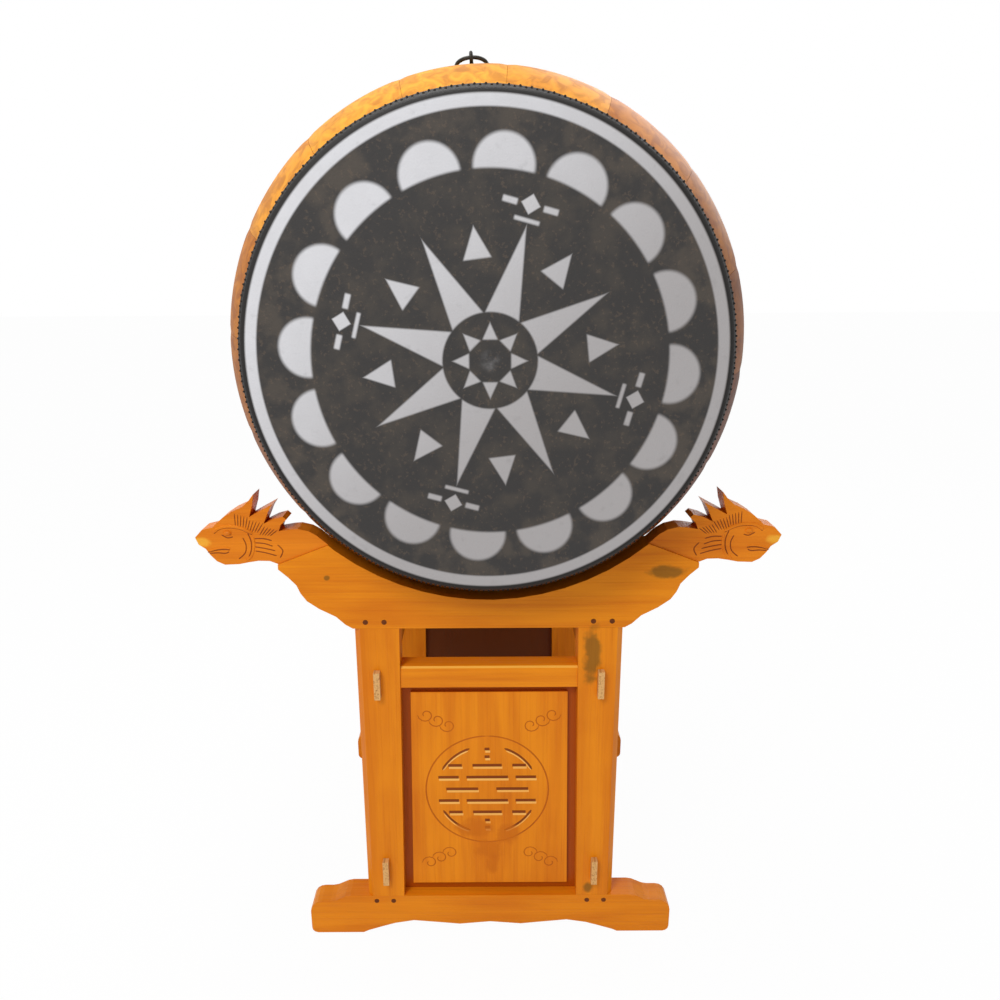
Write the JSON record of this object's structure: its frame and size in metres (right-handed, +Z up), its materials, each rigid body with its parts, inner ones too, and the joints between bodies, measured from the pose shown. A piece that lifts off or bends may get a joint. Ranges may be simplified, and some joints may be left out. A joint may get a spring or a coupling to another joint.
{
  "type": "temple drum",
  "caption": "Large barrel drum of lacquered staves with pegged hide heads, lying in a jointed wooden stand with carved dragon heads.",
  "frame": {"origin": "on the floor under the middle of the object", "axes": "+Z up; the drum's axis runs along Y and the front head faces -Y; +X to the right seen from the front"},
  "size_m": [1.096, 0.96, 1.772],
  "materials": {
    "barrel_wood": "gloss lacquer",
    "drum_hide": "painted rawhide",
    "iron_fittings": "dark forged",
    "stand_wood": "satin varnish",
    "carved_wood": "satin varnish",
    "peg_wood": "dull"
  },
  "bodies": {
    "stand": {"front_cradle_board": "stand_wood", "front_cross_rail": "stand_wood", "front_panel": "stand_wood", "front_foot_beam": "stand_wood", "front_left_leg": "stand_wood", "front_right_leg": "stand_wood", "rear_cradle_board": "stand_wood", "rear_cross_rail": "stand_wood", "rear_panel": "stand_wood", "rear_foot_beam": "stand_wood", "rear_left_leg": "stand_wood", "rear_right_leg": "stand_wood", "left_upper_side_rail": "stand_wood", "left_lower_side_rail": "stand_wood", "right_upper_side_rail": "stand_wood", "right_lower_side_rail": "stand_wood", "front_left_dragon_head": "carved_wood", "front_right_dragon_head": "carved_wood", "rear_left_dragon_head": "carved_wood", "rear_right_dragon_head": "carved_wood", "front_left_board_peg_inner": "peg_wood", "front_left_board_peg_outer": "peg_wood", "front_left_foot_peg_inner": "peg_wood", "front_left_foot_peg_outer": "peg_wood", "front_right_board_peg_inner": "peg_wood", "front_right_board_peg_outer": "peg_wood", "front_right_foot_peg_inner": "peg_wood", "front_right_foot_peg_outer": "peg_wood", "rear_left_board_peg_inner": "peg_wood", "rear_left_board_peg_outer": "peg_wood", "rear_left_foot_peg_inner": "peg_wood", "rear_left_foot_peg_outer": "peg_wood", "rear_right_board_peg_inner": "peg_wood", "rear_right_board_peg_outer": "peg_wood", "rear_right_foot_peg_inner": "peg_wood", "rear_right_foot_peg_outer": "peg_wood"},
    "drum": {"stave_01": "barrel_wood", "stave_02": "barrel_wood", "stave_03": "barrel_wood", "stave_04": "barrel_wood", "stave_05": "barrel_wood", "stave_06": "barrel_wood", "stave_07": "barrel_wood", "stave_08": "barrel_wood", "stave_09": "barrel_wood", "stave_10": "barrel_wood", "stave_11": "barrel_wood", "stave_12": "barrel_wood", "stave_13": "barrel_wood", "stave_14": "barrel_wood", "stave_15": "barrel_wood", "stave_16": "barrel_wood", "front_head": "drum_hide", "rear_head": "drum_hide", "front_hanging_eye": "iron_fittings", "rear_hanging_eye": "iron_fittings"},
    "front_ring": {"front_hanging_ring": "iron_fittings"},
    "rear_ring": {"rear_hanging_ring": "iron_fittings"}
  },
  "joints": [
    {"name": "drum_lift", "type": "slide", "parent": "stand", "child": "drum", "axis": [0, 0, 1], "range_m": [0, 0.35]},
    {"name": "front_ring_swing", "type": "hinge", "parent": "drum", "child": "front_ring", "pos_m": [-0.02731, -0.10137, 1.76073], "axis": [0.9986, 0, 0.0523], "range_deg": [0, 215]},
    {"name": "rear_ring_swing", "type": "hinge", "parent": "drum", "child": "rear_ring", "pos_m": [-0.02731, 0.10137, 1.76073], "axis": [0.9986, 0, 0.0523], "range_deg": [0, 215]}
  ]
}
